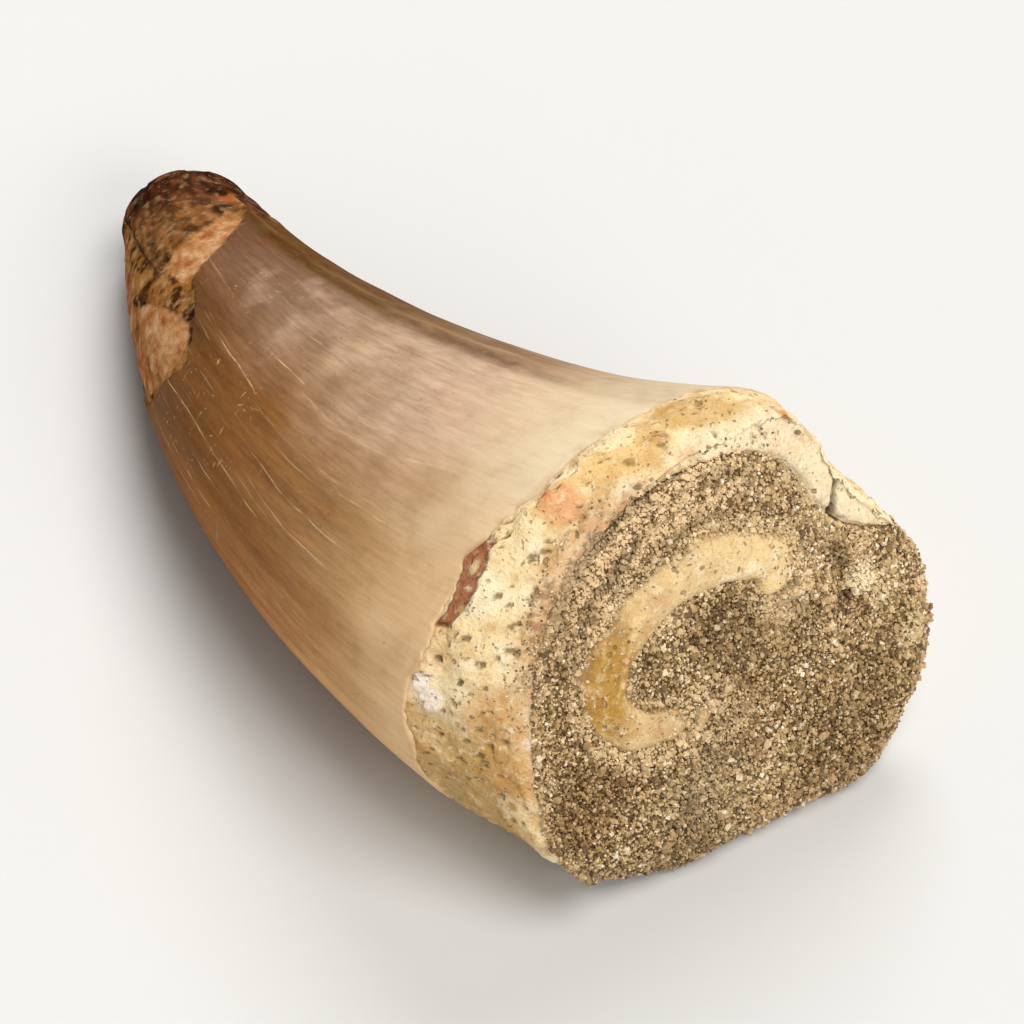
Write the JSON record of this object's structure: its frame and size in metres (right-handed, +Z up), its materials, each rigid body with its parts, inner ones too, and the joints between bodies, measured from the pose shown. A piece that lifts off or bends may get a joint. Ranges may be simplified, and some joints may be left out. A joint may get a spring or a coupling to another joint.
{
  "type": "fossil mosasaur tooth",
  "caption": "Curved fossil mosasaur tooth lying on its side, with a worn enamel crown and a broken root end filled with cemented sandy sediment.",
  "frame": {"origin": "middle of the footprint, on the surface that the tooth rests on", "axes": "+X towards the broken root end, -X towards the tip, +Y towards the side that the crown bends to, +Z up"},
  "size_m": [0.0588, 0.0312, 0.0263],
  "materials": {
    "enamel_and_bone": "satin fossil enamel, dark brown at the tip and cream tan at the base, with matt cream bone at the root",
    "sandy_sediment": "rough cemented sand, grey brown with pale and dark grains"
  },
  "bodies": {
    "root": {"tooth": "enamel_and_bone", "sediment_matrix": "sandy_sediment"}
  },
  "joints": []
}
